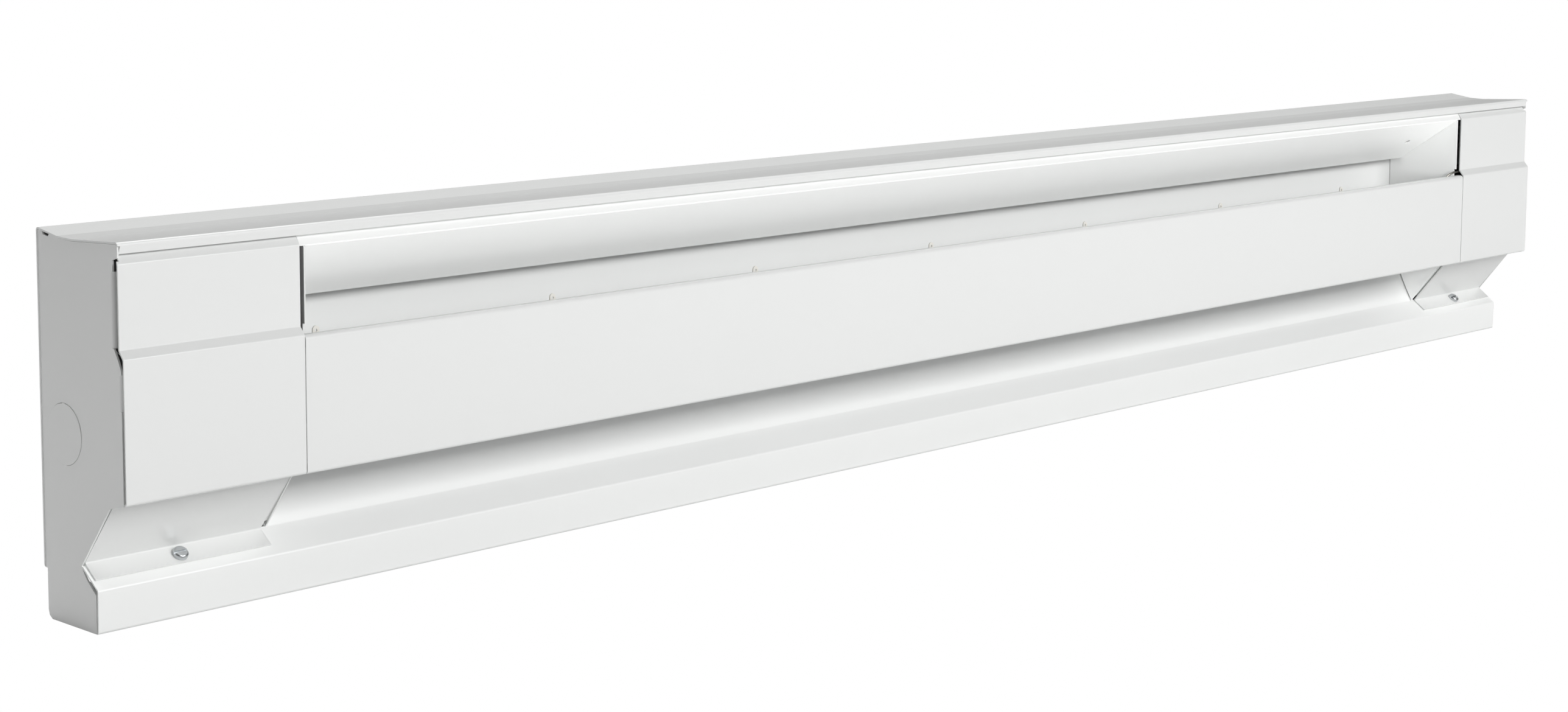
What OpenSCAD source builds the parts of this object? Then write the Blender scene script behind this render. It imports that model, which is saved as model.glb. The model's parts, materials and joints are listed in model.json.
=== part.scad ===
// Electric convection baseboard heater, 48 inch size.
// X runs along the wall, -Y faces the room, +Y the wall, and Z up from the floor.
// The origin is on the floor, in the middle of the plan.

/* [Overall size] */
// Length along the wall, over the casing
overall_l = 1219.2; // [900:0.1:2440]
// Height from the floor to the top of the back edge
overall_h = 177.8; // [146:0.1:220]
// Depth from the wall to the front face
overall_d = 68.3; // [56:0.1:84]

/* [Sheet steel] */
// Thickness of the back panel, reflector, deflector and front panel
casing_t = 0.8; // [0.6:0.05:1.2]
// Thickness of the two end covers
cover_t = 0.8; // [0.6:0.05:1.2]
// Thickness of the end plates
end_plate_t = 0.9; // [0.6:0.05:1.2]
// Thickness of the bulkheads and hangers
bulkhead_t = 0.8; // [0.6:0.05:1.2]
// Inside radius of an ordinary bend
bend_r = 0.7; // [0.4:0.1:1.2]
// Gap between two sheets that pass each other
fit_gap = 0.3; // [0.2:0.05:0.5]

/* [Casing top] */
// How far the nose of the front lip stands back from the front face
lip_setback = 1.75; // [1:0.05:3]
// How far the nose of the lip lies below the top of the back edge
lip_drop = 0.9; // [0.5:0.1:2]
// Height of the lip's folded-down return
lip_return = 5.3; // [4:0.1:7]
// Depth of the slope down from the back edge
rear_slope_d = 17.1; // [10:0.1:20]
// Depth of the shallow valley in front of that slope
valley_d = 11; // [6:0.1:14]
// How far the valley lies below the back edge
valley_drop = 2.9; // [2:0.1:4]

/* [Toe and reflector] */
// Height of the upright toe face
toe_h = 20; // [15:0.1:26]
// Setback of the toe face from the front face
toe_setback = 24.25; // [20:0.05:28]
// Slope of the ledge behind the toe's top edge, in degrees
ledge_angle = 36; // [30:1:40]
// Depth of the ledge
ledge_d = 13.4; // [12:0.1:15]
// Rise of the curved scoop above the ledge
scoop_rise = 77; // [60:1:80]
// Depth of the wireway behind the reflector
wireway_d = 8.35; // [6:0.05:10]
// How far the reflector's top edge lies below the back edge
reflector_drop = 27.8; // [24:0.1:30]
// Depth of the toe's bottom return
toe_return = 12; // [8:0.5:16]

/* [Front panel] */
// Height of the front panel's bottom edge above the floor
panel_bottom_z = 62; // [56:0.1:66]
// Distance from the back edge down to the panel's top edge
outlet_drop = 51.7; // [44:0.1:54]
// Depth of the panel's top flange
panel_flange = 5.65; // [5:0.05:8]
// Inside radius of the panel's rolled top edge
panel_top_r = 1.5; // [1:0.1:2]

/* [End covers] */
// Width of each end cover
cover_w = 94.9; // [80:0.1:110]
// Gap between a cover and the front panel
cover_gap = 0.5; // [0.2:0.1:1.5]
// Step between the cover's upper and lower faces
joggle_d = 3.15; // [2:0.05:4]
// Height of that step
joggle_h = 3.8; // [3:0.1:6]
// Height of the bevel under the lip
bevel_h = 4; // [3:0.1:5]
// Travel that backs a cover screw out of the ledge
screw_travel = 9; // [8:0.5:12]

/* [Air deflector] */
// Slope of the deflector, in degrees
deflector_angle = 34; // [28:1:38]
// Depth that the deflector reaches back from the bevel
deflector_reach = 46.2; // [36:0.1:48]

/* [Heating element] */
// Diameter of the element's steel sheath
sheath_d = 8.5; // [7:0.1:11]
// Thickness of a fin
fin_t = 0.5; // [0.3:0.05:0.8]
// Spacing of the fins
fin_pitch = 6.4; // [5:0.1:10]
// Gap between two banks of fins, where a hanger holds the sheath
bank_gap = 22; // [18:0.5:40]
// Air gap between the fins and the sheets in front of and behind them
fin_air_gap = 6.3; // [4:0.1:7]
// Slide that heating the element causes, each way
element_float = 1.5; // [0.5:0.1:2]
// Radial clearance of the sheath in its bushings
running_gap = 0.08; // [0.05:0.01:0.1]

/* [Knockouts and fixings] */
// Diameter of the end knockouts, 3/4 inch trade size
end_knockout_d = 28.2; // [24:0.1:30]
// Diameter of the rear knockouts, 1/2 inch trade size
rear_knockout_d = 22.2; // [20:0.1:24]
// Diameter of the wall screw holes
wall_hole_d = 5.5; // [4:0.1:7]
// Height of the lower pair of wall screw holes
wall_hole_z = 50; // [46:0.5:60]
// Height between the lower and upper wall screw holes
wall_hole_rise = 100; // [70:0.5:100]
// Shank diameter of the cover screws
screw_d = 3.5; // [3:0.1:4]

/* [Limit control and wiring] */
// Diameter of the limit control's capillary tube
capillary_d = 1.6; // [1.2:0.1:2]
// Spacing of the capillary's clips
clip_pitch = 144; // [120:1:150]
// Number of clips
clip_count = 7; // [5:1:7]
// Diameter of the lead wires over their insulation
wire_d = 3; // [2.4:0.1:3.4]

/* [Hidden] */
$fn = 48;

steel_white = "#e9eaea";
zinc = "#b9bcc0";
aluminium = "#c9ccd0";
sheath_steel = "#8a8c8f";
nylon_black = "#2b2b2d";
tinned_copper = "#a9a7a1";
wire_black = "#242424";
wire_red = "#9c2a25";
nut_colour = "#d8842a";
ground_green = "#2f8a4a";
resin_white = "#d9d6cc";

bend_step = 15;            // degrees of a bend in one flat
smooth_steps = 12;         // flats in the reflector's scoop

// Planes of the casing
half_l = overall_l / 2;
front_y = -overall_d / 2;
back_y = overall_d / 2;
top_z = overall_h;
panel_top_z = top_z - outlet_drop;
plate_x = half_l - 0.4;                      // outer face of an end plate
plate_in_x = plate_x - end_plate_t;
cover_out_x = half_l - fit_gap;
cover_in_x = cover_out_x - cover_w;
cover_mid_x = (cover_out_x + cover_in_x) / 2;
panel_lip = 5;                               // down-turned back edge of the panel's flange
panel_x = cover_in_x - cover_gap;
bulkhead_x = panel_x - 3.3;                  // face of a bulkhead that looks to the middle

// Toe, ledge and scoop
toe_y = front_y + toe_setback;
fold_y = toe_y + ledge_d;
function ledge_z(y) = toe_h + (y - toe_y) * tan(ledge_angle);
fold_z = ledge_z(fold_y);
liner_y = back_y - casing_t - wireway_d;
liner_top_z = top_z - reflector_drop;
scoop_reach = liner_y - fold_y;
scoop_r = (scoop_reach * scoop_reach + scoop_rise * scoop_rise) / (2 * scoop_reach);
scoop_z = fold_z + scoop_rise;
scoop_turn = 2 * atan(scoop_reach / scoop_rise);
function liner_face_y(z) =
    z > scoop_z ? liner_y
                : liner_y - scoop_r + sqrt(scoop_r * scoop_r - (scoop_z - z) * (scoop_z - z));
floor_z = toe_h + 3.2;                       // underside of the compartment floor
upstand_y = fold_y + 0.9;                    // front of the floor's upstand

// Top of the casing
nose_y = front_y + lip_setback;
nose_z = top_z - lip_drop;
return_y = nose_y + 2.2;
return_z = nose_z - lip_return;
valley_y = back_y - rear_slope_d;
valley_front_y = valley_y - valley_d;
valley_z = top_z - valley_drop;
valley_rise = 0.4;                           // from the front of the valley to its back
// how far the path's sharp corner stands above the rounded back edge, for a given slope
function edge_lift(slope) = (bend_r + casing_t) * (tan(slope) + 1 / cos(slope) - 1);
rear_fall = valley_drop - valley_rise;
rear_slope = atan((rear_fall + edge_lift(atan(rear_fall / rear_slope_d))) / rear_slope_d);
edge_z = top_z + edge_lift(rear_slope);

// Bevel, upper face and hook of the covers
bevel_top_y = return_y + 2.2;
bevel_top_z = return_z - 0.4;
upper_y = front_y + joggle_d;
bevel_bottom_z = bevel_top_z - bevel_h;
hook_z = bevel_top_z + 3.2;                  // the cover swings about a line inside its hook
joggle_z = panel_top_z - 0.1;                // top of the lower face
under_y = front_y + 13.75;                   // back end of the bottom return
under_z = panel_bottom_z - 3.7;
flange_fold_y = fold_y - 0.8;
flange_gap = 0.12;                           // air under the cover's flange
flange_rise = (cover_t + flange_gap) / cos(ledge_angle);
function flange_z(y) = ledge_z(y) + flange_rise;
flange_end_y = flange_fold_y - 8.5;
screw_y = flange_fold_y - 4.7;
screw_clear_d = screw_d + 0.9;               // hole in the flange
screw_hole_d = screw_d + 0.2;                // hole in the ledge

// Heating element
fin_z0 = panel_bottom_z + 2;
fin_z1 = panel_top_z - 16;
fin_front_y = front_y + casing_t + fin_air_gap;
fin_back_y = liner_face_y(fin_z0) - 0.4 * fin_air_gap;
element_y = (fin_front_y + fin_back_y) / 2;
element_z = (fin_z0 + fin_z1) / 2;
sheath_x = bulkhead_x + 20;
collar_d = sheath_d + 3.2;
bush_bore = sheath_d + 2 * running_gap;
bush_d = sheath_d + 5.5;
bank_end_x = bulkhead_x - 14;
bank_l = (2 * bank_end_x - 2 * bank_gap) / 3;
hanger_x = bank_l / 2 + bank_gap / 2;
pin_d = 2.6;
pin_l = 16;
lug_l = 24;
lug_gap = 0.05;
lead_end_x = sheath_x + 4 + pin_l + element_float + 0.5;  // where a lead starts inside its lug

// Capillary, clips and limit control
capillary_y = front_y + panel_flange + 1.9;
capillary_z = panel_top_z - 2.6;
clip_t = 0.7;
clip_w = 3.8;
clip_rise = 2.7;
limit_w = 21;
limit_d = 27;
limit_h = 36;
limit_x = bulkhead_x + bulkhead_t;
limit_y = element_y - 18.5;
limit_z = element_z + bush_d / 2 + 2.05;      // just above the bushing
limit_screw_y = limit_y + limit_d / 2;
limit_screw_rise = 10;
notch_z = panel_top_z + 0.4;
notch_h = 4.1;
notch_y = front_y + panel_flange + 0.15;

// Wiring
knockout_tie = 2;
knockout_gap = 0.2;
knockout_proud = 0.35;
end_knockout_y = back_y - 19.2;
end_knockout_z = 86.7;
rear_knockout_x = cover_mid_x;
rear_knockout_z = [74, 124];
ground_x = cover_mid_x - 30;
ground_z = 50;
wireway_y = back_y - casing_t - wireway_d / 2;

// ---------------------------------------------------------------- bent sheet

function unit(v) = v / norm(v);
function left_of(v) = [-v[1], v[0]];
function heading(a, b) = unit(b - a);
function turned(v, a) = [v[0] * cos(a) - v[1] * sin(a), v[0] * sin(a) + v[1] * cos(a)];
function reversed(p) = [for (i = [len(p) - 1 : -1 : 0]) p[i]];
function pick(r, i) = is_list(r) ? r[i] : r;

// Turn at corner i of a path, in degrees: left is positive
function turn_at(p, i) =
    let (u = heading(p[i - 1], p[i]), v = heading(p[i], p[i + 1]))
    atan2(u[0] * v[1] - u[1] * v[0], u * v);

// A path moved t to the left of its direction of travel
function moved(p, t) =
    let (n = len(p) - 1)
    [for (i = [0 : n])
        let (a = left_of(heading(p[max(i - 1, 0)], p[max(i, 1)])),
             b = left_of(heading(p[min(i, n - 1)], p[min(i + 1, n)])))
        p[i] + t * (a + b) / (1 + a * b)];

// Points of the arc that rounds corner i
function corner(p, i, r) =
    let (u = heading(p[i - 1], p[i]), turn = turn_at(p, i), side = sign(turn),
         start = p[i] - u * r * tan(abs(turn) / 2),
         spoke = -side * r * left_of(u),
         steps = max(1, ceil(abs(turn) / bend_step)))
    r <= 0 ? [p[i]] : [for (k = [0 : steps]) start - spoke + turned(spoke, turn * k / steps)];

function rounded(p, r, more_left, more_right) =
    concat([p[0]],
           [for (i = [1 : len(p) - 2])
               each corner(p, i, pick(r, i) <= 0 ? 0
                   : pick(r, i) + (turn_at(p, i) > 0 ? more_left : more_right))],
           [p[len(p) - 1]]);

// Outline of a sheet t thick that lies to the left of a path, with inside bend radius r
function sheet(p, t, r) =
    concat(rounded(p, r, t, 0), reversed(rounded(moved(p, t), r, 0, t)));

// Extrudes a (y, z) outline along X
module along_x(x0, x1)
    translate([x0, 0, 0]) rotate([90, 0, 90]) linear_extrude(x1 - x0) children();

module block(lo, hi) translate(lo) cube(hi - lo);

module both_ends(left)
    if (left) mirror([1, 0, 0]) children(); else children();

// Round bar or hole along X or Y
module bar_x(x0, x1, y, z, d) translate([x0, y, z]) rotate([0, 90, 0]) cylinder(d = d, h = x1 - x0);
module bar_y(y0, y1, x, z, d) translate([x, y0, z]) rotate([-90, 0, 0]) cylinder(d = d, h = y1 - y0);

// ---------------------------------------------------------------- casing

casing_path = [
    [upstand_y, fold_z - 1.2], [upstand_y, floor_z], [back_y, floor_z], [back_y, edge_z],
    [valley_y, valley_z + valley_rise], [valley_front_y, valley_z], [nose_y, nose_z],
    [return_y, return_z]
];

// Inner face of the casing's top at depth y
function top_in_z(y) =
    valley_z + (valley_front_y - y) / (valley_front_y - nose_y) * (nose_z - valley_z) - casing_t;

// The same behind the valley
function top_back_z(y) =
    valley_z + valley_rise - casing_t + max(0, y - valley_y) * tan(rear_slope)
    - max(0, valley_y - y) * valley_rise / valley_d;

module wall_holes(d)
    for (side = [-1, 1], rise = [0, wall_hole_rise])
        bar_y(back_y - 2 * casing_t, back_y + 1, side * cover_mid_x, wall_hole_z + rise, d);

module back_panel() {
    color(steel_white)
    difference() {
        along_x(-half_l, half_l)
            polygon(sheet(casing_path, casing_t, [0, bend_r, bend_r, bend_r, 6, 6, bend_r, 0]));
        for (side = [-1, 1]) {
            // the floor, its upstand and the lip's return stop inside the end plates
            mirror([side < 0 ? 1 : 0, 0, 0]) {
                block([plate_in_x - 0.1, front_y, floor_z - 1],
                      [half_l + 1, back_y - casing_t, fold_z + 1]);
                block([plate_in_x - 0.1, front_y, return_z - 1],
                      [half_l + 1, bevel_top_y, nose_z - 1.7]);
            }
            for (z = rear_knockout_z)
                bar_y(back_y - 2 * casing_t, back_y + 1, side * rear_knockout_x, z, rear_knockout_d);
            bar_y(back_y - 2 * casing_t, back_y + 1, side * ground_x, ground_z, 4.2);
        }
        wall_holes(wall_hole_d);
    }
}

scoop_points = [for (k = [0 : smooth_steps])
    let (a = scoop_turn * k / smooth_steps)
    [liner_y - scoop_r * (1 - cos(a)), scoop_z - scoop_r * sin(a)]];
reflector_path = concat(
    [[back_y - casing_t, liner_top_z], [liner_y, liner_top_z]], scoop_points,
    [[toe_y, toe_h], [toe_y + 0.4, 0], [toe_y + 0.4 + toe_return, 0]]);
reflector_radii = [for (i = [0 : len(reflector_path) - 1])
    i == 1 || i >= len(scoop_points) + 2 ? bend_r : 0];

module screw_axis(left)
    translate([(left ? -1 : 1) * cover_mid_x, screw_y, flange_z(screw_y)])
        rotate([ledge_angle, 0, 0]) children();

module reflector() {
    color(steel_white)
    difference() {
        along_x(-plate_x - 0.2, plate_x + 0.2)
            polygon(sheet(reflector_path, casing_t, reflector_radii));
        for (left = [true, false]) {
            both_ends(left) {
                // the scoop is cut away in the wiring compartment
                block([bulkhead_x + bulkhead_t + fit_gap, fold_y + 0.5, 0.5 * toe_h],
                      [half_l + 1, back_y + 1, top_z]);
                // and the bottom return stops inside the end plate
                block([plate_in_x - 1, toe_y + 1.4, -1], [half_l + 1, back_y, 2]);
                // as does the back edge of the ledge
                block([plate_in_x - 0.1, fold_y - 1.1, 0.5 * toe_h], [half_l + 1, back_y, top_z]);
            }
            screw_axis(left) translate([0, 0, -5]) cylinder(d = screw_hole_d, h = 5);
        }
    }
}

// ---------------------------------------------------------------- end plates

plate_edge_y = front_y + 7.65;               // front edge behind the upper face
plate_low_y = front_y + 2.45;                // front edge behind the lower face
plate_top_gap = 0.2;                         // below the casing's top
plate_outline = [
    [back_y - casing_t - 1.4, floor_z - 0.1], [back_y - casing_t - 1.4, 4],
    [back_y - casing_t - 2.2, 1.4], [back_y - casing_t - 4.6, 0],
    [toe_y + 2, 0], [toe_y + 2, toe_h - 2.4], [toe_y + 4.1, toe_h - 0.9],
    [fold_y - 3.9, fold_z - 6.2], [fold_y - 0.9, fold_z - 2.3], [fold_y - 0.2, fold_z - 0.6],
    [under_y + 0.2, under_z + 0.2], [plate_low_y, panel_bottom_z - 0.8],
    [plate_low_y, joggle_z - 5], [plate_low_y + 2.1, joggle_z - 0.8],
    [plate_edge_y, joggle_z + 4.1], [plate_edge_y, bevel_bottom_z + 1.5],
    [nose_y + 1.8, bevel_bottom_z + 2.8], [nose_y + 1.8, nose_z - 1.8],
    [nose_y + 3, top_in_z(nose_y + 3) - plate_top_gap],
    [valley_front_y, valley_z - casing_t - plate_top_gap],
    [valley_y - 1, top_back_z(valley_y - 1) - plate_top_gap],
    // corner relief near the back edge
    [valley_y + 7, top_back_z(valley_y + 7) - plate_top_gap],
    [valley_y + 8, top_back_z(valley_y + 8) - 1.5],
    [valley_y + 12, top_back_z(valley_y + 12) - 1.5],
    [valley_y + 13, top_back_z(valley_y + 13) - plate_top_gap],
    [back_y - casing_t - bend_r, top_back_z(back_y - casing_t - bend_r) - plate_top_gap],
    [back_y - casing_t, top_back_z(back_y - casing_t) - plate_top_gap - bend_r],
    [back_y - casing_t, floor_z - 0.1]
];

module tab(y0, y1, z0, z1, reach)
    block([plate_in_x - reach, y0, z0], [plate_in_x + 0.1, y1, z1]);

// depth, lower end and upper end of each tab on the front edge
front_tabs = [[plate_edge_y, joggle_z + 4.1, bevel_bottom_z - 3.6],
              [plate_low_y, joggle_z - 23, joggle_z - 7]];

module end_plate(left) {
    color(steel_white)
    both_ends(left)
    difference() {
        union() {
            difference() {
                along_x(plate_in_x, plate_x) polygon(plate_outline);
                for (t = front_tabs)
                    block([plate_in_x - 1, t[0] - 1, t[1]], [plate_x + 1, t[0] + 2.5, t[2]]);
            }
            // tabs folded inwards along the front edge and on the back panel
            for (t = front_tabs)
                translate([0, 0, t[1]]) linear_extrude(t[2] - t[1])
                    polygon(sheet([[plate_x - 8, t[0]], [plate_x, t[0]], [plate_x, t[0] + 3]],
                                  end_plate_t, [0, bend_r, 0]));
            tab(back_y - casing_t - end_plate_t, back_y - casing_t, floor_z + 20, liner_top_z + 8, 9);
            // and the one under the sloping ledge
            translate([plate_in_x - 8, toe_y + 2.0, toe_h - 2.4]) rotate([ledge_angle - 1, 0, 0])
                translate([0, 0.2, -end_plate_t]) cube([8.1, 8.2, end_plate_t]);
        }
        bar_x(plate_in_x - 1, half_l, end_knockout_y, end_knockout_z, end_knockout_d);
        for (z = [floor_z + 36, liner_top_z - 12])
            bar_y(back_y - 3 * casing_t, back_y, plate_in_x - 5, z, 3.2);
    }
}

// A disc that fills a knockout and hangs on two thin ties
module knockout_disc(d, t)
    union() {
        cylinder(d = d - 2 * knockout_gap, h = t);
        for (side = [-1, 1])
            translate([side * (d / 2 - 0.6) - 0.6, -knockout_tie / 2, 0])
                cube([1.2 - (side > 0 ? 0.02 : 0), knockout_tie, t]);
    }

module end_knockout(left) {
    color(steel_white)
    both_ends(left)
        translate([plate_in_x + knockout_proud, end_knockout_y, end_knockout_z])
            rotate([0, 90, 0]) intersection() {
                knockout_disc(end_knockout_d, end_plate_t);
                cylinder(d = end_knockout_d, h = end_plate_t);
            }
}

module rear_knockouts(left) {
    color(steel_white)
    for (z = rear_knockout_z)
        translate([(left ? -1 : 1) * rear_knockout_x, back_y - casing_t, z])
            rotate([-90, 0, 0]) intersection() {
                knockout_disc(rear_knockout_d, casing_t);
                cylinder(d = rear_knockout_d, h = casing_t);
            }
}

// ---------------------------------------------------------------- bulkheads

under_gap = cover_t + fit_gap;               // from the cover's outer face to the bulkhead
flange_w = 11;                               // flanges that close the gaps beside a cover
bevel_gap = casing_t + fit_gap + 0.1;        // from the bevel's top back to the bulkhead
flange_low_z = panel_bottom_z + 3;
flange_mid_z = panel_top_z - panel_lip - 0.6;
bulkhead_outline = concat([
    [front_y + under_gap, panel_bottom_z + under_gap + 0.6],
    [under_y + 1.0, under_z + under_gap + 0.5]],
    [for (k = [smooth_steps : -1 : 1]) scoop_points[k] + [-fit_gap, 0.9]],
    [[liner_y - fit_gap, liner_top_z + fit_gap],
    [back_y - casing_t - fit_gap, liner_top_z + fit_gap],
    [back_y - casing_t - fit_gap, top_back_z(back_y - casing_t) - plate_top_gap - bend_r],
    [back_y - casing_t - bend_r, top_back_z(back_y - casing_t - bend_r) - plate_top_gap],
    [valley_y, top_back_z(valley_y) - plate_top_gap],
    [valley_front_y, valley_z - casing_t - plate_top_gap],
    // the deflector's bevelled front passes before this edge
    [bevel_top_y + bevel_gap, top_in_z(bevel_top_y + bevel_gap) - plate_top_gap],
    [bevel_top_y + bevel_gap, bevel_top_z - 0.4], [upper_y + under_gap + 0.9, bevel_bottom_z - 0.4],
    // notch for the capillary, above the front panel's flange
    [upper_y + under_gap, bevel_bottom_z - 1.2], [upper_y + under_gap, notch_z + notch_h],
    [notch_y, notch_z + notch_h], [notch_y, flange_mid_z], [front_y + under_gap, flange_mid_z]]);

// Upright flange folded outwards behind a cover, with its face at depth y
module bulkhead_flange(y, z0, z1)
    translate([0, 0, z0]) linear_extrude(z1 - z0)
        polygon(sheet([[bulkhead_x, y + 6], [bulkhead_x, y], [bulkhead_x + flange_w, y]],
                      bulkhead_t, [0, bend_r, 0]));

module bulkhead(left) {
    color(steel_white)
    both_ends(left)
    difference() {
        union() {
            difference() {
                along_x(bulkhead_x, bulkhead_x + bulkhead_t) polygon(bulkhead_outline);
                // the front edge gives way to the flange's rounded bend
                block([bulkhead_x - 1, front_y, flange_low_z],
                      [bulkhead_x + 1, front_y + under_gap + 3, flange_mid_z]);
            }
            bulkhead_flange(front_y + under_gap, flange_low_z, flange_mid_z);
            // the one behind the sloping plate
            along_x(bulkhead_x, bulkhead_x + flange_w)
                polygon(sheet([bulkhead_outline[1] + [1, -1], bulkhead_outline[2] + [-1, 3]], bulkhead_t, 0));
            // flange behind the front panel
            block([bulkhead_x - 12, front_y + casing_t, panel_bottom_z + 6],
                  [bulkhead_x + bulkhead_t, front_y + casing_t + bulkhead_t, panel_top_z - 8]);
            // flange on the back panel, above the reflector
            block([bulkhead_x, back_y - casing_t - bulkhead_t, liner_top_z + 2],
                  [bulkhead_x + bulkhead_t + 10, back_y - casing_t, top_z - 8]);
        }
        bar_x(bulkhead_x - 1, bulkhead_x + 2, element_y, element_z, bush_d);
        if (!left)
            for (side = [-1, 1])
                bar_x(bulkhead_x - 1, bulkhead_x + 2, limit_screw_y,
                      limit_z + limit_h / 2 + side * limit_screw_rise / 2, 3.4);
    }
}

// ---------------------------------------------------------------- deflector

deflector_path = [
    [bevel_top_y + 14, top_in_z(bevel_top_y + 14) - 0.05],
    [bevel_top_y + 0.1, top_in_z(bevel_top_y + 0.1) - 0.05],
    [bevel_top_y + 0.1, bevel_top_z + 0.1], [upper_y + 0.4, bevel_bottom_z - 0.3],
    [upper_y + 0.4 + deflector_reach,
     bevel_bottom_z - 0.3 - deflector_reach * tan(deflector_angle)]
];
deflector_x = bulkhead_x - fit_gap;
deflector_hole = [bulkhead_x - 30, front_y + 27.1];

module air_deflector() {
    color(steel_white)
    difference() {
        union() {
            along_x(-deflector_x, deflector_x)
                polygon(sheet(deflector_path, casing_t, [0, bend_r, bend_r, bend_r, 0]));
            // the bevel runs on to the covers, in front of the bulkheads
            along_x(fit_gap - cover_in_x, cover_in_x - fit_gap)
                polygon(sheet([deflector_path[1] - [0, 2], deflector_path[2], deflector_path[3]],
                              casing_t, [0, bend_r, 0]));
        }
        // assembly hole near the right end
        translate([deflector_hole[0], deflector_hole[1],
                   bevel_bottom_z - (deflector_hole[1] - upper_y) * tan(deflector_angle)])
            rotate([-deflector_angle, 0, 0]) translate([0, 0, -3]) cylinder(d = 4, h = 6);
    }
}

// ---------------------------------------------------------------- front panel

panel_path = [
    [front_y + panel_flange, panel_top_z - panel_lip], [front_y + panel_flange, panel_top_z],
    [front_y, panel_top_z], [front_y, panel_bottom_z],
    [front_y + 9, panel_bottom_z - 9 * (panel_bottom_z - under_z) / (under_y - front_y)]
];

module front_panel() {
    color(steel_white)
    along_x(-panel_x, panel_x)
        polygon(sheet(panel_path, casing_t, [0, bend_r, panel_top_r, bend_r, 0]));
}

// ---------------------------------------------------------------- end covers

cover_path = [
    [bevel_top_y, hook_z], [bevel_top_y, bevel_top_z], [upper_y, bevel_bottom_z],
    [upper_y, joggle_z + joggle_h], [front_y, joggle_z], [front_y, panel_bottom_z],
    [under_y, under_z], [flange_fold_y, flange_z(flange_fold_y)],
    [flange_end_y, flange_z(flange_end_y)]
];

module end_cover(left) {
    color(steel_white)
    difference() {
        both_ends(left) difference() {
            along_x(cover_in_x, cover_out_x) polygon(sheet(cover_path, cover_t,
                [0, bend_r, bend_r, bend_r, bend_r, bend_r, bend_r, bend_r, 0]));
            // the hook, bevel, bottom return and sloping plate fit between the end plates
            block([plate_in_x - 0.4, upper_y + cover_t + 0.15, 0], [half_l + 1, back_y, top_z]);
            block([plate_in_x - 0.4, plate_low_y - 0.7, 0], [half_l + 1, back_y, panel_bottom_z + 1.5]);
        }
        screw_axis(left) translate([0, 0, -2]) cylinder(d = screw_clear_d, h = 3);
    }
}

// ---------------------------------------------------------------- screws

head_d = 7.4;
head_h = 2.5;
shank_l = 7.2;
dome_points = [for (a = [0 : 15 : 90]) [head_d / 2 - 1.3 + 1.3 * cos(a), head_h - 1.3 + 1.3 * sin(a)]];

// Pan head screw, with the underside of its head at the origin
module pan_screw(length)
    difference() {
        union() {
            rotate_extrude() polygon(concat([[0, 0], [head_d / 2, 0]], dome_points, [[0, head_h]]));
            translate([0, 0, 1.4 - length]) cylinder(d = screw_d, h = length - 1.3);
            translate([0, 0, -length]) cylinder(d1 = 1.4, d2 = screw_d, h = 1.4);
        }
        translate([-head_d, -0.5, head_h - 1.2]) cube([2 * head_d, 1, 2]);
    }

module cover_screw(left) {
    color(zinc) screw_axis(left) translate([0, 0, 0.02]) pan_screw(shank_l);
}

// Green hexagon washer-head screw in the back panel
module ground_screw(left) {
    color(ground_green)
    translate([(left ? -1 : 1) * ground_x, back_y - casing_t, ground_z]) rotate([90, 0, 0])
        difference() {
            union() {
                cylinder(d = 10, h = 1);
                cylinder(d = 8, h = 4, $fn = 6);
                translate([0, 0, -casing_t]) cylinder(d = 4.1, h = casing_t + 0.1);
            }
            translate([-6, -0.6, 3]) cube([12, 1.2, 2]);
        }
}

// ---------------------------------------------------------------- heating element

module element_sheath() {
    color(sheath_steel) bar_x(-sheath_x, sheath_x, element_y, element_z, sheath_d);
}

// A bank of fins pressed on the sheath, with collars that touch each other
module fin_bank(x0, x1) {
    count = floor((x1 - x0 - fin_t) / fin_pitch);
    start = (x0 + x1 - count * fin_pitch - fin_t) / 2;
    color(aluminium)
    difference() {
        union() {
            bar_x(start, start + count * fin_pitch + fin_t, element_y, element_z, collar_d);
            for (i = [0 : count])
                block([start + i * fin_pitch, fin_front_y, fin_z0],
                      [start + i * fin_pitch + fin_t, fin_back_y, fin_z1]);
        }
        bar_x(x0 - 1, x1 + 1, element_y, element_z, sheath_d + 0.02);
    }
}

// Resin seal at the end of the sheath, and the pin that leaves it
module terminal(left) {
    color(resin_white)
    both_ends(left) union() {
        bar_x(sheath_x, sheath_x + 4, element_y, element_z, sheath_d - 0.6);
        bar_x(sheath_x + 3, sheath_x + 4 + pin_l, element_y, element_z, pin_d);
    }
}

// Crimped connector on the pin
module lug(left) {
    color(zinc)
    both_ends(left)
    difference() {
        union() {
            bar_x(sheath_x + 6, sheath_x + 6 + lug_l, element_y, element_z, 6.2);
            bar_x(sheath_x + 8, sheath_x + 10, element_y, element_z, 7.4);
        }
        bar_x(sheath_x + 5, sheath_x + 4.5 + pin_l, element_y, element_z, pin_d + 2 * lug_gap);
        bar_x(sheath_x + 4.4 + pin_l, sheath_x + 7 + lug_l, element_y, element_z, wire_d + 0.6);
    }
}

// Split nylon bushing that snaps into a sheet of thickness t
module snap_bush(x, t)
    difference() {
        union() {
            bar_x(x - 2.2, x - 0.05, element_y, element_z, bush_d + 4);
            bar_x(x - 0.1, x + t + 0.1, element_y, element_z, bush_d - 0.1);
            bar_x(x + t + 0.05, x + t + 2.2, element_y, element_z, bush_d + 4);
        }
        bar_x(x - 3, x + t + 3, element_y, element_z, bush_bore);
    }

module bushing(left) {
    color(nylon_black) both_ends(left) snap_bush(bulkhead_x, bulkhead_t);
}

module hanger_bush(left) {
    color(nylon_black) both_ends(left) snap_bush(hanger_x - bulkhead_t / 2, bulkhead_t);
}

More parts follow.
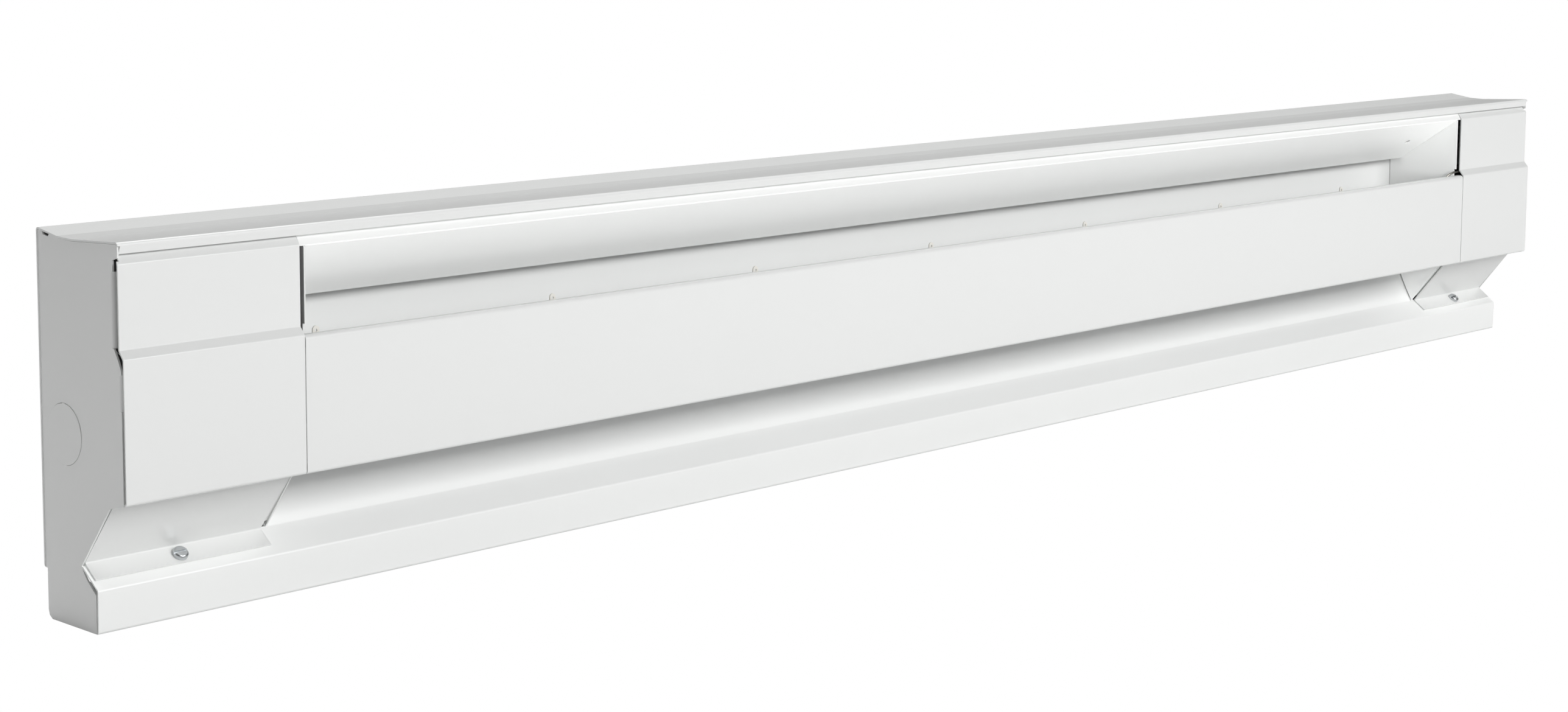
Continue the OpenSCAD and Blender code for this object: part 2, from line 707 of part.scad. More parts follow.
// Bracket that holds the sheath between two banks of fins and stiffens the front panel
module hanger(left) {
    foot = 17;
    arm = 8;
    foot_y = liner_face_y(element_z - foot) - 0.05;
    color(zinc)
    both_ends(left)
    difference() {
        union() {
            along_x(hanger_x - bulkhead_t / 2, hanger_x + bulkhead_t / 2) union() {
                translate([element_y, element_z]) circle(d = bush_d + 12);
                polygon([[front_y + casing_t, element_z - arm / 2], [element_y, element_z - arm],
                         [foot_y - 3, element_z - foot], [foot_y, element_z - foot],
                         [foot_y, element_z + foot], [foot_y - 3, element_z + foot],
                         [element_y, element_z + arm], [front_y + casing_t, element_z + arm / 2]]);
            }
            // foot on the reflector and pad on the front panel
            block([hanger_x - bulkhead_t / 2, foot_y - bulkhead_t, element_z - foot],
                  [hanger_x + 9, foot_y, element_z + foot]);
            block([hanger_x - bulkhead_t / 2, front_y + casing_t, element_z - arm / 2],
                  [hanger_x + 9, front_y + casing_t + bulkhead_t, element_z + arm / 2]);
        }
        bar_x(hanger_x - 1, hanger_x + 1, element_y, element_z, bush_d);
    }
}

// ---------------------------------------------------------------- limit control

module limit_control() {
    color(nylon_black)
    difference() {
        union() {
            block([limit_x, limit_y, limit_z], [limit_x + limit_w, limit_y + limit_d, limit_z + limit_h]);
            // collar where the capillary leaves, and two flat tabs for the leads
            bar_x(limit_x + limit_w - 0.1, limit_x + limit_w + 4, limit_y + 8, limit_z + 28, 7);
            for (z = [8, 18])
                block([limit_x + limit_w - 0.1, limit_y + 14, limit_z + z],
                      [limit_x + limit_w + 8, limit_y + 20.3, limit_z + z + 0.8]);
        }
        for (side = [-1, 1])
            bar_x(limit_x - 1, limit_x + 7, limit_screw_y,
                  limit_z + limit_h / 2 + side * limit_screw_rise / 2, 3);
    }
}

// Two small screws through the bulkhead into the control
module limit_screws() {
    color(zinc)
    for (side = [-1, 1])
        translate([bulkhead_x, limit_screw_y, limit_z + limit_h / 2 + side * limit_screw_rise / 2])
            rotate([0, -90, 0]) difference() {
                union() {
                    cylinder(d = 5.6, h = 1.8);
                    translate([0, 0, -6]) cylinder(d = 2.9, h = 6.1);
                }
                translate([-3, -0.4, 0.9]) cube([6, 0.8, 1]);
            }
}

// Tube swept along a route: rings of points joined by flat faces
function rounder(p) = concat([p[0]],
    [for (i = [0 : len(p) - 2]) each [p[i] * 0.75 + p[i + 1] * 0.25, p[i] * 0.25 + p[i + 1] * 0.75]],
    [p[len(p) - 1]]);
function directions(p) = let (n = len(p) - 1)
    [for (i = [0 : n]) unit(p[min(i + 1, n)] - p[max(i - 1, 0)])];
function square_to(v, d) = unit(v - (v * d) * d);

module tube(route, d, sides = 8) {
    p = rounder(rounder(route));
    n = len(p);
    way = directions(p);
    first = square_to(abs(way[0][2]) < 0.9 ? [0, 0, 1] : [0, 1, 0], way[0]);
    side = [for (i = 0, v = first; i < n; i = i + 1, v = square_to(v, way[min(i, n - 1)])) v];
    rings = [for (i = [0 : n - 1], k = [0 : sides - 1])
        let (a = 360 * k / sides)
        p[i] + d / 2 * (side[i] * cos(a) + cross(way[i], side[i]) * sin(a))];
    walls = [for (i = [0 : n - 2], k = [0 : sides - 1])
        let (a = i * sides + k, b = i * sides + (k + 1) % sides)
        [a, a + sides, b + sides, b]];
    caps = [[for (k = [0 : sides - 1]) k], [for (k = [sides - 1 : -1 : 0]) (n - 1) * sides + k]];
    polyhedron(points = rings, faces = concat(walls, caps), convexity = 6);
}

capillary_route = [
    [limit_x + limit_w + 4.05, limit_y + 8, limit_z + 28],
    [limit_x + limit_w + 10, limit_y + 8, limit_z + 28],
    [limit_x + limit_w + 11, limit_y + 1, limit_z + 31],
    [limit_x + limit_w + 2, limit_y - 3.5, limit_z + 32],
    [bulkhead_x + 6, notch_y - 1.2, notch_z + 2],
    [bulkhead_x - 4, notch_y - 1.0, notch_z + 2],
    [bulkhead_x - 12, capillary_y, capillary_z],
    [bulkhead_x - 26, capillary_y, capillary_z],
    [-bulkhead_x + 18, capillary_y, capillary_z]
];

module limit_capillary() { color(tinned_copper) tube(capillary_route, capillary_d); }

// Arched spring clips on the panel's back flange
module capillary_clips() {
    clip_y = front_y + panel_flange;
    color(steel_white)
    for (i = [0 : clip_count - 1])
        translate([(i - 3.5) * clip_pitch, clip_y, panel_top_z]) {
            rotate([90, 0, 0]) translate([0, 0, -clip_t]) linear_extrude(clip_t) difference() {
                union() {
                    translate([-clip_w / 2, -8]) square([clip_w, 8 + clip_rise - clip_w / 2]);
                    translate([0, clip_rise - clip_w / 2]) circle(d = clip_w);
                }
                translate([0, 0.5]) circle(d = 1.3);
            }
            // ledge that the tube rests on
            translate([-clip_w / 2, 0.1, -8]) cube([clip_w, 3.6, clip_t]);
            translate([-clip_w / 2, 3, -8]) cube([clip_w, clip_t, 4.2]);
        }
}

// ---------------------------------------------------------------- wiring

left_lead_route = [
    [-lead_end_x, element_y, element_z], [-lead_end_x - 12, element_y, element_z],
    [-lead_end_x - 22, element_y - 3, element_z - 6], [-lead_end_x - 20, element_y - 6, element_z - 20],
    [-lead_end_x - 4, element_y - 7, element_z - 24], [-lead_end_x + 6, element_y - 7, element_z - 12],
    [-lead_end_x + 2, element_y - 7, element_z + 10], [-lead_end_x + 2, element_y - 7, element_z + 30]
];
through_route = [
    [-lead_end_x + 14, element_y + 8, element_z + 30], [-lead_end_x + 14, element_y + 8, element_z + 12],
    [-lead_end_x + 15, element_y + 12, element_z - 4], [-lead_end_x + 12, element_y + 20, element_z - 16],
    [-lead_end_x + 10, wireway_y - 1, element_z - 24], [-bulkhead_x - 6, wireway_y, element_z - 26],
    [-bulkhead_x + 10, wireway_y, element_z - 26], [bulkhead_x - 10, wireway_y, element_z - 26],
    [bulkhead_x + 8, wireway_y, element_z - 26], [bulkhead_x + 24, wireway_y - 3, element_z - 22],
    [bulkhead_x + 42, wireway_y - 12, element_z - 6], [bulkhead_x + 44, limit_y + 18, limit_z + 16],
    [limit_x + limit_w + 14, limit_y + 17.2, limit_z + 18.4],
    [limit_x + limit_w + 8.2, limit_y + 17.2, limit_z + 18.4]
];
limit_lead_route = [
    [limit_x + limit_w + 8.2, limit_y + 17.2, limit_z + 8.4],
    [limit_x + limit_w + 15, limit_y + 17.2, limit_z + 8.4],
    [limit_x + limit_w + 30, limit_y + 12, limit_z + 6],
    [limit_x + limit_w + 38, limit_y + 10, element_z + 2],
    [lead_end_x + 22, element_y - 2, element_z - 2],
    [lead_end_x + 12, element_y, element_z], [lead_end_x, element_y, element_z]
];

module through_wire() { color(wire_red) tube(through_route, wire_d); }
module left_element_lead() { color(wire_black) tube(left_lead_route, wire_d); }
module limit_lead() { color(wire_black) tube(limit_lead_route, wire_d); }

// Ribbed twist-on connector, open end down
module wire_nut() {
    difference() {
        union() {
            cylinder(d = 12, h = 5);
            translate([0, 0, 5]) cylinder(d1 = 11, d2 = 7.5, h = 15);
            translate([0, 0, 20]) cylinder(d1 = 7.5, d2 = 5.5, h = 1.5);
            for (a = [0 : 60 : 300]) rotate([0, 0, a]) translate([3, -0.6, 5]) cube([2.6, 1.2, 9]);
        }
        translate([0, 0, -1]) cylinder(d = 8, h = 10);
    }
}

module wire_nuts() {
    color(nut_colour) {
        translate([-lead_end_x + 2, element_y - 7, element_z + 22]) wire_nut();
        translate([-lead_end_x + 14, element_y + 8, element_z + 22]) wire_nut();
    }
}

// ---------------------------------------------------------------- nodes

back_panel();
reflector();
end_plate(true);  // left_end_plate
end_plate(false);  // right_end_plate
bulkhead(true);  // left_bulkhead
bulkhead(false);  // right_bulkhead
air_deflector();
front_panel();
end_cover(true);  // left_cover
end_cover(false);  // right_cover
cover_screw(true);  // left_cover_screw
cover_screw(false);  // right_cover_screw
end_knockout(true);  // left_end_knockout
end_knockout(false);  // right_end_knockout
rear_knockouts(true);  // left_rear_knockouts
rear_knockouts(false);  // right_rear_knockouts
element_sheath();
fin_bank(-bank_end_x, -bank_end_x + bank_l);  // left_fins
fin_bank(-bank_l / 2, bank_l / 2);  // middle_fins
fin_bank(bank_end_x - bank_l, bank_end_x);  // right_fins
terminal(true);  // left_terminal
terminal(false);  // right_terminal
lug(true);  // left_lug
lug(false);  // right_lug
bushing(true);  // left_bushing
bushing(false);  // right_bushing
hanger(true);  // left_hanger
hanger(false);  // right_hanger
hanger_bush(true);  // left_hanger_bush
hanger_bush(false);  // right_hanger_bush
limit_control();
limit_screws();
limit_capillary();
capillary_clips();
through_wire();
left_element_lead();
limit_lead();
wire_nuts();
ground_screw(true);  // left_ground_screw
ground_screw(false);  // right_ground_screw
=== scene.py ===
"""A 48 inch electric baseboard heater: folded, powder-coated sheet steel around a finned heating element."""
import json
import math

import bmesh
import bpy
from mathutils import Matrix, Vector

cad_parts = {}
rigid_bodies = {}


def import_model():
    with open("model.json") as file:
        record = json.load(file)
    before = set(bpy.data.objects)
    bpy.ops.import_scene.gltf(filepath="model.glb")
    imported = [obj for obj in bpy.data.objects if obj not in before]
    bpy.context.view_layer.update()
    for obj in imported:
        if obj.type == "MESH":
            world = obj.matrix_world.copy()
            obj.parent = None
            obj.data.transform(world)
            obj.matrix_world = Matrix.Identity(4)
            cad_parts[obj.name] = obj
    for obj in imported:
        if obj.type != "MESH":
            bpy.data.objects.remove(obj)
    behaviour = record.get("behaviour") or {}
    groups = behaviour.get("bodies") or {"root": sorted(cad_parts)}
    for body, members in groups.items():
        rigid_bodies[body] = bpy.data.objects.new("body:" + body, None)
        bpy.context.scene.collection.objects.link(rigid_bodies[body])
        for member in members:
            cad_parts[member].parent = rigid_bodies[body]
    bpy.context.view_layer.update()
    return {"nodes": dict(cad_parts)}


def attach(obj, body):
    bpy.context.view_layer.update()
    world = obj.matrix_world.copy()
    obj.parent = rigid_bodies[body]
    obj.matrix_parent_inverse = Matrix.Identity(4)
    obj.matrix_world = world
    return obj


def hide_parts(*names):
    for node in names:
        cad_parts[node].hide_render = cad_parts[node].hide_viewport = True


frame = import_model()
nodes = frame["nodes"]
MM = 0.001


# ---- Camera ----------------------------------------------------------------
# It stands in front of the left end, a little above the heater, and looks along it.
# The lens is shifted, as on a view camera, so the uprights lean very little.
EYE = Vector((-1.2360, -1.0287, 0.3269))
YAW = math.radians(46.16)              # from +Y towards +X
DOWN = math.radians(6.47)
ROLL = math.radians(0.35)

lens = bpy.data.cameras.new("camera")
lens.sensor_width = 36
lens.lens = 61.8
lens.shift_y = -0.1
lens.clip_start, lens.clip_end = 0.05, 60
camera = bpy.data.objects.new("camera", lens)
camera.location = EYE
ahead = Vector((math.sin(YAW) * math.cos(DOWN), math.cos(YAW) * math.cos(DOWN), -math.sin(DOWN)))
camera.rotation_mode = "QUATERNION"
camera.rotation_quaternion = ahead.to_track_quat("-Z", "Y") @ Matrix.Rotation(ROLL, 3, "Z").to_quaternion()
scene = bpy.context.scene
scene.collection.objects.link(camera)
scene.camera = camera


# ---- Studio ------------------------------------------------------------------
# A white sweep with no visible edge. The key light stands in the room, above eye level,
# and a second one behind the heater rims its top edge.
def linear(code, alpha=1.0):
    """An sRGB hex colour as linear red, green, blue and alpha."""
    parts = [int(code[i:i + 2], 16) / 255 for i in (1, 3, 5)]
    return tuple(c / 12.92 if c <= 0.04045 else ((c + 0.055) / 1.055) ** 2.4 for c in parts) + (alpha,)


def add(tree, kind, links=(), **settings):
    """Adds a node. Links are (input, source socket); settings are properties, or inputs by name."""
    node = tree.nodes.new(kind)
    for name, value in settings.items():
        if hasattr(node, name):
            setattr(node, name, value)
        else:
            node.inputs[name.replace("_", " ")].default_value = value
    for name, source in links:
        tree.links.new(source, node.inputs[name])
    return node


def soft_light(name, place, aim, size, power):
    """A rectangular lamp that faces the point aim."""
    lamp = bpy.data.lights.new(name, "AREA")
    lamp.shape = "RECTANGLE"
    lamp.size, lamp.size_y = size
    lamp.energy = power
    obj = bpy.data.objects.new(name, lamp)
    obj.location = place
    obj.rotation_mode = "QUATERNION"
    obj.rotation_quaternion = (Vector(aim) - Vector(place)).to_track_quat("-Z", "Y")
    obj.visible_camera = False
    scene.collection.objects.link(obj)
    return obj


soft_light("front_softbox", (0.3, -2.8, 1.5), (0, 0, 0.1), (2.4, 1.0), 71)
soft_light("back_softbox", (0, 1.0, 2.6), (0, 0, 0.1), (3.0, 1.2), 61)
soft_light("side_softbox", (-3.2, 0.7, 0.8), (-0.6, 0, 0.1), (1.4, 1.4), 11)

# The sweep is seen white, and lights the heater only a little.
FLOOR_SIZE = 14
bpy.ops.mesh.primitive_plane_add(size=FLOOR_SIZE)
floor = bpy.context.object
floor.name = "floor"
sweep = bpy.data.materials.new("white_studio_sweep")
sweep.use_nodes = True
sweep.node_tree.nodes.clear()
card = add(sweep.node_tree, "ShaderNodeBsdfDiffuse", Color=linear("#e6e6e6"))
white = add(sweep.node_tree, "ShaderNodeEmission", Color=linear("#ffffff"), Strength=1.0)
path = add(sweep.node_tree, "ShaderNodeLightPath")
shown = add(sweep.node_tree, "ShaderNodeMixShader", [(0, path.outputs["Is Camera Ray"]), (1, card.outputs[0]),
                                                     (2, white.outputs[0])])
add(sweep.node_tree, "ShaderNodeOutputMaterial", [("Surface", shown.outputs[0])])
floor.data.materials.append(sweep)

world = bpy.data.worlds.new("studio_air")
scene.world = world
world.use_nodes = True
air = world.node_tree
dim = add(air, "ShaderNodeBackground", Color=linear("#ffffff"), Strength=0.02)
bright = add(air, "ShaderNodeBackground", Color=linear("#ffffff"), Strength=1.0)
path = add(air, "ShaderNodeLightPath")
seen = add(air, "ShaderNodeMixShader", [(0, path.outputs["Is Camera Ray"]), (1, dim.outputs[0]),
                                        (2, bright.outputs[0])])
air.links.new(seen.outputs[0], air.nodes["World Output"].inputs["Surface"])
scene.view_settings.view_transform = "Standard"


# ---- Casing, panel and covers ------------------------------------------------
# Cold-rolled sheet steel, 0.8 mm thick, punched and folded on a press brake, then sprayed with
# white powder and baked. The coat runs back a little, so cut edges come out round.
def material(name, colour, roughness, metallic=0.0):
    made = bpy.data.materials.new(name)
    made.use_nodes = True
    shader = made.node_tree.nodes["Principled BSDF"]
    shader.inputs["Base Color"].default_value = linear(colour)
    shader.inputs["Roughness"].default_value = roughness
    shader.inputs["Metallic"].default_value = metallic
    return made


def relief(made, size, height, stretch=(1, 1, 1)):
    """Adds a bump of noise to a material: features of this size and height, in mm."""
    tree = made.node_tree
    shader = tree.nodes["Principled BSDF"]
    place = add(tree, "ShaderNodeTexCoord")
    scaled = add(tree, "ShaderNodeMapping", [("Vector", place.outputs["Object"])], Scale=stretch)
    noise = add(tree, "ShaderNodeTexNoise", [("Vector", scaled.outputs[0])], Scale=1 / (size * MM), Detail=1.5)
    bump = add(tree, "ShaderNodeBump", [("Height", noise.outputs["Fac"])], Strength=1.0, Distance=height * MM)
    for link in shader.inputs["Normal"].links:
        tree.links.new(link.from_socket, bump.inputs["Normal"])
    tree.links.new(bump.outputs[0], shader.inputs["Normal"])


def piece(name, source, coat, slot, *stands_for):
    """Makes source's evaluated shape a plain mesh that moves with the CAD nodes it stands for."""
    scene.collection.objects.link(source)
    bpy.context.view_layer.update()
    depsgraph = bpy.context.evaluated_depsgraph_get()
    mesh = bpy.data.meshes.new_from_object(source.evaluated_get(depsgraph))
    mesh.name = name
    bpy.data.objects.remove(source)
    made = bpy.data.objects.new(name, mesh)
    scene.collection.objects.link(made)
    mesh.materials.clear()
    mesh.materials.append(coat)
    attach(made, nodes[stands_for[0]].parent.name.split(":")[1])
    return made


def softened(name, coat, slot, edge=0.16, bend=50):
    """A copy of a CAD node with smooth bends and rounded cut edges, which stands for it."""
    shape = bmesh.new()
    shape.from_mesh(nodes[name].data)
    bmesh.ops.remove_doubles(shape, verts=shape.verts, dist=0.001 * MM)
    bmesh.ops.dissolve_limit(shape, angle_limit=math.radians(0.2), verts=shape.verts, edges=shape.edges)
    mesh = bpy.data.meshes.new(name + "_copy")
    shape.to_mesh(mesh)
    shape.free()
    mesh.shade_smooth()
    copy = bpy.data.objects.new(name + "_copy", mesh)
    rounding = copy.modifiers.new("cut_edges", "BEVEL")
    rounding.width = edge * MM
    rounding.segments = 2
    rounding.limit_method = "ANGLE"
    rounding.angle_limit = math.radians(bend)
    flat = copy.modifiers.new("flat_faces", "WEIGHTED_NORMAL")
    flat.weight = 90
    made = piece(name + "_finished", copy, coat, slot, name)
    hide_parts(name)
    return made


# Satin white powder: fine orange peel, and the slow wave that a folded sheet keeps.
powder_coat = material("white_powder_coat", "#f1f2f1", 0.26)
relief(powder_coat, 1.6, 0.010)
relief(powder_coat, 55, 0.22, (1, 0.8, 0.8))
for name in ("back_panel", "reflector", "left_end_plate", "right_end_plate", "left_bulkhead", "right_bulkhead",
             "air_deflector", "front_panel", "left_cover", "right_cover"):
    softened(name, powder_coat, "white_enamel", 0.2)


# ---- Knockouts -----------------------------------------------------------------
# Discs punched nearly free of the end plates and the back panel, held by two small ties and
# knocked out where the supply cable enters. They are sprayed with the casing.
for name in ("left_end_knockout", "right_end_knockout", "left_rear_knockouts", "right_rear_knockouts"):
    softened(name, powder_coat, "white_enamel", 0.14)


# ---- Cover screws --------------------------------------------------------------
# Zinc-plated pan head sheet-metal screws, cold headed and slotted, with a rolled thread. They
# run through the cover's flange into the ledge of the reflector.
def grown(name, tree, coat, slot, body_of, **sizes):
    """Runs a node group with these sizes, and makes its result a piece that moves with a CAD node."""
    holder = bpy.data.objects.new(name + "_nodes", bpy.data.meshes.new(name + "_nodes"))
    run = holder.modifiers.new("grow", "NODES")
    run.node_group = tree
    for socket in tree.interface.items_tree:
        if socket.in_out == "INPUT":
            value = sizes[socket.name.lower().replace(" ", "_")]
            run[socket.identifier] = value if isinstance(value, int) else value * MM
    return piece(name, holder, coat, slot, body_of)


def node_group(name, *sizes, counts=()):
    """An empty Geometry Nodes group with a named input for each size, and its input node."""
    tree = bpy.data.node_groups.new(name, "GeometryNodeTree")
    tree.interface.new_socket("Geometry", in_out="OUTPUT", socket_type="NodeSocketGeometry")
    for label in sizes:
        tree.interface.new_socket(label, in_out="INPUT", socket_type="NodeSocketFloat")
    for label in counts:
        tree.interface.new_socket(label, in_out="INPUT", socket_type="NodeSocketInt")
    return tree, tree.nodes.new("NodeGroupInput")


def finish_group(tree, geometry, coat):
    """Ends a node group: real geometry, in one material."""
    real = add(tree, "GeometryNodeRealizeInstances", [("Geometry", geometry)])
    coated = add(tree, "GeometryNodeSetMaterial", [("Geometry", real.outputs[0])], Material=coat)
    add(tree, "NodeGroupOutput", [("Geometry", coated.outputs[0])])


def half(tree, socket):
    halved = add(tree, "ShaderNodeMath", [(0, socket)], operation="MULTIPLY")
    halved.inputs[1].default_value = 0.5
    return halved.outputs[0]


def vector(tree, **links):
    return add(tree, "ShaderNodeCombineXYZ", [(axis.upper(), source) for axis, source in links.items()]).outputs[0]


zinc = material("zinc_plated_steel", "#c9ccce", 0.3, 1.0)
relief(zinc, 0.5, 0.012)

SCREW_TILT = math.radians(36)
THREAD_PITCH = 1.34
thread, sizes = node_group("rolled_thread", "Root diameter", "Height", "Ridge", "X", "Y", "Z", counts=("Turns",))
helix = add(thread, "GeometryNodeCurveSpiral",
            [("Rotations", sizes.outputs["Turns"]), ("Start Radius", half(thread, sizes.outputs["Root diameter"])),
             ("End Radius", half(thread, sizes.outputs["Root diameter"])), ("Height", sizes.outputs["Height"])],
            Resolution=20)
ridge = add(thread, "GeometryNodeCurvePrimitiveCircle", [("Radius", sizes.outputs["Ridge"])], Resolution=3)
wound = add(thread, "GeometryNodeCurveToMesh", [("Curve", helix.outputs[0]), ("Profile Curve", ridge.outputs[0])],
            Fill_Caps=True)
placed = add(thread, "GeometryNodeTransform",
             [("Geometry", wound.outputs[0]),
              ("Translation", vector(thread, x=sizes.outputs["X"], y=sizes.outputs["Y"], z=sizes.outputs["Z"]))],
             Rotation=(SCREW_TILT, 0, 0))
finish_group(thread, placed.outputs[0], zinc)

SCREW_Y, SCREW_Z = -2.0, 26.9
for side, name in ((-1, "left"), (1, "right")):
    softened(name + "_cover_screw", zinc, "zinc_plate", 0.1, 40)
    low = 6.4
    grown(name + "_screw_thread", thread, zinc, "zinc_plate", name + "_cover_screw", root_diameter=3.42, height=5.2,
          ridge=0.24, turns=4, x=side * 561.85, y=SCREW_Y + low * math.sin(SCREW_TILT),
          z=SCREW_Z - low * math.cos(SCREW_TILT))


# ---- Heating element -----------------------------------------------------------
# A drawn steel sheath packed with magnesia round a coil, with stamped aluminium fins pressed on.
# Each fin's drawn collar spaces it from the next, and resin seals the ends round the pins.
sheath_steel = material("drawn_steel_sheath", "#6f6a64", 0.34, 1.0)
relief(sheath_steel, 0.6, 0.01, (0.05, 1, 1))
softened("element_sheath", sheath_steel, "sheath_steel", 0.3)
resin = material("cast_resin_seal", "#d9d6cc", 0.4)
for name in ("left_terminal", "right_terminal"):
    softened(name, resin, "seal_resin", 0.2)

aluminium = material("mill_aluminium", "#cdd0d2", 0.32, 1.0)
relief(aluminium, 0.8, 0.01, (1, 1, 0.08))
fins, sizes = node_group("pressed_fin_bank", "Depth", "Height", "Corner", "Thickness", "Pitch", "Bore", "Collar",
                         "Neck", "Start", "Axis Y", "Axis Z", counts=("Count",))
blank = add(fins, "GeometryNodeCurvePrimitiveQuadrilateral",
            [("Width", sizes.outputs["Depth"]), ("Height", sizes.outputs["Height"])])
cut = add(fins, "GeometryNodeFilletCurve", [("Curve", blank.outputs[0]), ("Radius", sizes.outputs["Corner"])],
          mode="POLY", Count=3)
hole = add(fins, "GeometryNodeCurvePrimitiveCircle", [("Radius", half(fins, sizes.outputs["Bore"]))], Resolution=32)
outline = add(fins, "GeometryNodeJoinGeometry")
for part in (cut, hole):
    fins.links.new(part.outputs[0], outline.inputs[0])
face = add(fins, "GeometryNodeFillCurve", [("Curve", outline.outputs[0])])
front = add(fins, "GeometryNodeExtrudeMesh", [("Mesh", face.outputs[0]),
                                              ("Offset Scale", sizes.outputs["Thickness"])], Individual=False)
rear = add(fins, "GeometryNodeFlipFaces", [("Mesh", face.outputs[0])])
collar = add(fins, "GeometryNodeMeshCone",
             [("Radius Bottom", half(fins, sizes.outputs["Collar"])), ("Radius Top", half(fins, sizes.outputs["Neck"])),
              ("Depth", sizes.outputs["Pitch"])], fill_type="NONE", Vertices=32)
round_collar = add(fins, "GeometryNodeSetShadeSmooth", [("Geometry", collar.outputs[0])])
fin = add(fins, "GeometryNodeJoinGeometry")
for part in (front, rear):
    fins.links.new(part.outputs[0], fin.inputs[0])
gaps = add(fins, "ShaderNodeMath", [(0, sizes.outputs["Count"])], operation="SUBTRACT")
gaps.inputs[1].default_value = 1
bank = add(fins, "GeometryNodeJoinGeometry")
for part, number in ((fin, sizes.outputs["Count"]), (round_collar, gaps.outputs[0])):
    upright = add(fins, "GeometryNodeTransform", [("Geometry", part.outputs[0])],
                  Rotation=(math.radians(90), 0, math.radians(90)))
    row = add(fins, "GeometryNodeMeshLine",
              [("Count", number), ("Offset", vector(fins, x=sizes.outputs["Pitch"])),
               ("Start Location", vector(fins, x=sizes.outputs["Start"], y=sizes.outputs["Axis Y"],
                                         z=sizes.outputs["Axis Z"]))])
    copies = add(fins, "GeometryNodeInstanceOnPoints", [("Points", row.outputs[0]), ("Instance", upright.outputs[0])])
    fins.links.new(copies.outputs[0], bank.inputs[0])
finish_group(fins, bank.outputs[0], aluminium)
for name, start in (("left_fins", -495.25), ("middle_fins", -157.05), ("right_fins", 181.15)):
    made = grown(name + "_finished", fins, aluminium, "fin_aluminium", name, depth=43.25, height=46.1, corner=3.0,
                 thickness=0.5, pitch=6.4, bore=8.6, collar=11.7, neck=9.4, start=start, axis_y=-5.425,
                 axis_z=87.05, count=50)
    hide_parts(name)


# ---- Crimped connectors ----------------------------------------------------------
# Tinned barrels crimped on the sheath's pins, each with a stop collar.
for name in ("left_lug", "right_lug"):
    softened(name, zinc, "zinc_plate", 0.25)


# ---- Bushings --------------------------------------------------------------------
# Moulded nylon bushings that snap into the bulkheads and hangers, so that the sheath can slide.
nylon = material("black_nylon", "#26272a", 0.42)
for name in ("left_bushing", "right_bushing", "left_hanger_bush", "right_hanger_bush"):
    softened(name, nylon, "black_nylon", 0.3)


# ---- Hangers -----------------------------------------------------------------------
# Stamped from galvanised sheet; they carry the element between its banks of fins.
for name in ("left_hanger", "right_hanger"):
    softened(name, zinc, "zinc_plate", 0.12)


# ---- Limit control -----------------------------------------------------------------
# A phenolic switch box on the right bulkhead, held by two screws, with flat tabs for its leads.
# Its tinned copper capillary runs the length of the outlet and trips it if the air is blocked.
phenolic = material("black_phenolic", "#1b1b1c", 0.3)
softened("limit_control", phenolic, "black_phenolic", 0.4)
softened("limit_screws", zinc, "zinc_plate", 0.1, 40)


def tube(name, route, diameter, coat, slot):
    """A round wire or tube along a route in mm, with its corners cut twice, which stands for a CAD node."""
    for _ in range(2):
        cuts = [Vector(a) * near + Vector(b) * (1 - near) for a, b in zip(route, route[1:]) for near in (0.75, 0.25)]
        route = [Vector(route[0]), *cuts, Vector(route[-1])]
    line = bpy.data.curves.new(name + "_line", "CURVE")
    line.dimensions = "3D"
    line.bevel_depth = diameter / 2 * MM
    line.bevel_resolution = 3
    line.use_fill_caps = True
    spline = line.splines.new("POLY")
    spline.points.add(len(route) - 1)
    for point, place in zip(spline.points, route):
        point.co = (*(place * MM), 1)
    made = piece(name + "_finished", bpy.data.objects.new(name + "_line", line), coat, slot, name)
    made.data.shade_smooth()
    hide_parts(name)


tinned = material("tinned_copper", "#a9a7a1", 0.3, 1.0)
tube("limit_capillary", [
    (536.15, -15.925, 124.1), (542.1, -15.925, 124.1), (543.1, -22.925, 127.1), (534.1, -27.425, 128.1),
    (516.3, -29.55, 128.5), (506.3, -29.35, 128.5), (498.3, -26.6, 123.5), (484.3, -26.6, 123.5),
    (-492.3, -26.6, 123.5)], 1.6, tinned, "capillary_tinned")

# White nylon clips along the front panel's rear flange carry the capillary.
white_nylon = material("white_nylon", "#eceae4", 0.4)
softened("capillary_clips", white_nylon, "white_nylon", 0.2)


# ---- Wiring ------------------------------------------------------------------------
# Stranded wires in heat-resisting insulation, run through the wireway behind the reflector.
# Twist-on connectors close the two ends left for the supply.
black_wire = material("black_insulation", "#242424", 0.45)
red_wire = material("red_insulation", "#9c2a25", 0.45)
tube("left_element_lead", [
    (-552.3, -5.425, 87.05), (-564.3, -5.425, 87.05), (-574.3, -8.425, 81.05), (-572.3, -11.425, 67.05),
    (-556.3, -12.425, 63.05), (-546.3, -12.425, 75.05), (-550.3, -12.425, 97.05), (-550.3, -12.425, 117.05)],
     3.0, black_wire, "black_insulation")
tube("limit_lead", [
    (540.3, -6.725, 104.5), (547.1, -6.725, 104.5), (562.1, -11.925, 102.1), (570.1, -13.925, 89.05),
    (574.3, -7.425, 85.05), (564.3, -5.425, 87.05), (552.3, -5.425, 87.05)], 3.0, black_wire, "black_insulation")
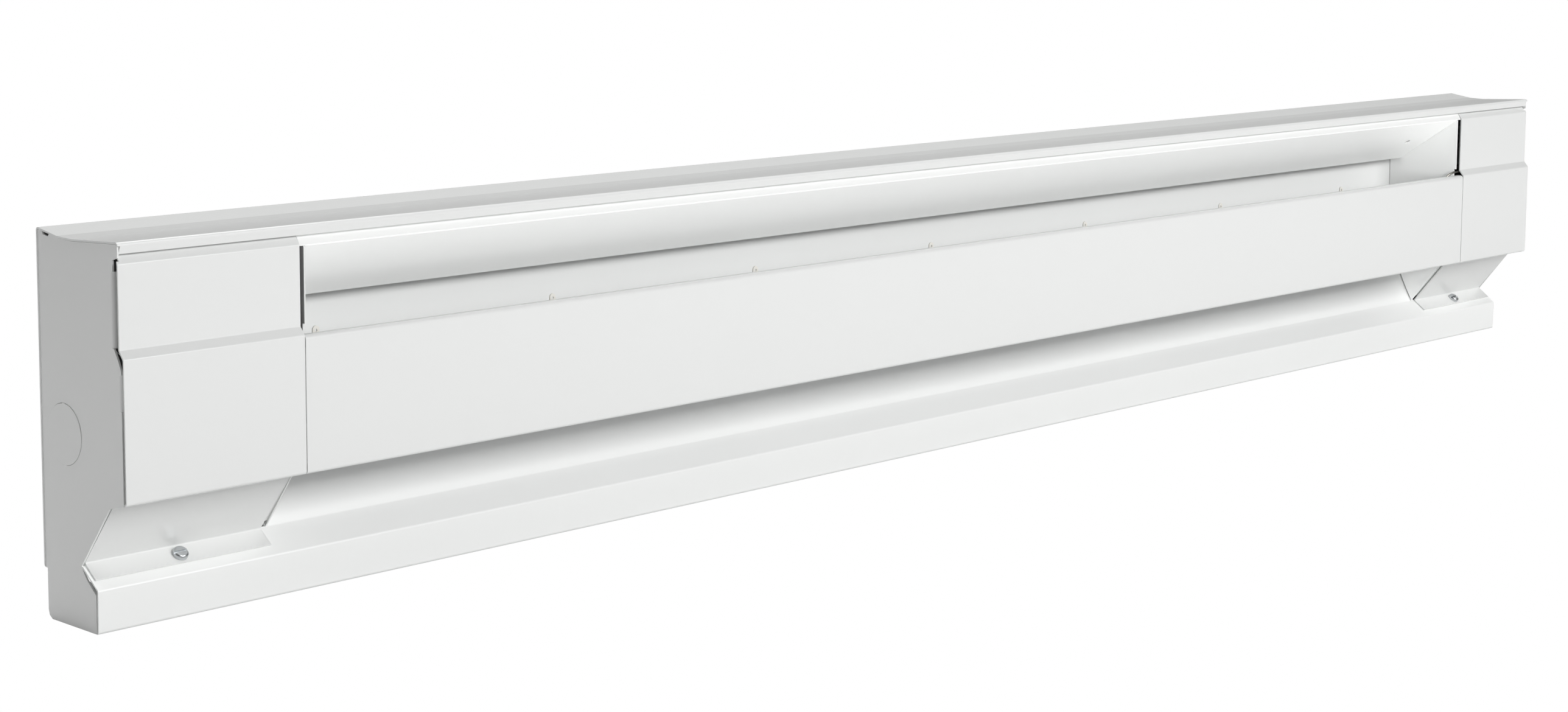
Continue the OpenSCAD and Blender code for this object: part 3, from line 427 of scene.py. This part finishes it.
tube("through_wire", [
    (-538.3, 2.575, 117.05), (-538.3, 2.575, 99.05), (-537.3, 6.575, 83.05), (-540.3, 14.575, 71.05),
    (-542.3, 28.175, 63.05), (-516.3, 29.175, 61.05), (-500.3, 29.175, 61.05), (500.3, 29.175, 61.05),
    (518.3, 29.175, 61.05), (534.3, 26.175, 65.05), (552.3, 17.175, 81.05), (554.3, -5.925, 112.1),
    (546.1, -6.725, 114.5), (540.3, -6.725, 114.5)], 3.0, red_wire, "red_insulation")
orange = material("orange_thermoplastic", "#d8842a", 0.38)
softened("wire_nuts", orange, "orange_plastic", 0.3, 40)


# ---- Ground screws -------------------------------------------------------------------
# Green-dyed hexagon screws with a washer head, one in each wiring compartment.
green = material("green_dyed_zinc", "#2f8a4a", 0.35, 0.6)
for name in ("left_ground_screw", "right_ground_screw"):
    softened(name, green, "green_enamel", 0.15, 40)


# ---- Fill cards ------------------------------------------------------------------------
# Cards laid close to the openings throw light back inside, each on a few pieces only, so that
# the outlet's throat and the ledge read as white as the front.
def fill_card(name, place, aim, size, power, pieces, shaded=True):
    """A soft light that reaches only these pieces, and is shaded by the rest unless told not to be."""
    card = soft_light(name, place, aim, size, power)
    reached = bpy.data.collections.new(name + "_reaches")
    for made in pieces:
        reached.objects.link(bpy.data.objects[made + "_finished"])
    card.light_linking.receiver_collection = reached
    if not shaded:
        card.light_linking.blocker_collection = bpy.data.collections.new(name + "_shaded_by")
        card.light_linking.blocker_collection.objects.link(floor)


fill_card("throat_card", (0, -0.2, 0.01), (0, -0.02, 0.15), (2.6, 0.1), 3.2,
          ("air_deflector",), shaded=False)
fill_card("ledge_card", (0, -0.3, 2.5), (0, 0, 0.1), (3.0, 1.0), 16, ("reflector",), shaded=False)
fill_card("liner_card", (0.3, -3.0, 0.9), (0, 0, 0.1), (2.4, 0.8), 16, ("reflector",))
fill_card("bulkhead_card", (-0.7, -1.1, 0.25), (0.5, 0, 0.15), (0.6, 0.4), 12, ("right_bulkhead",))
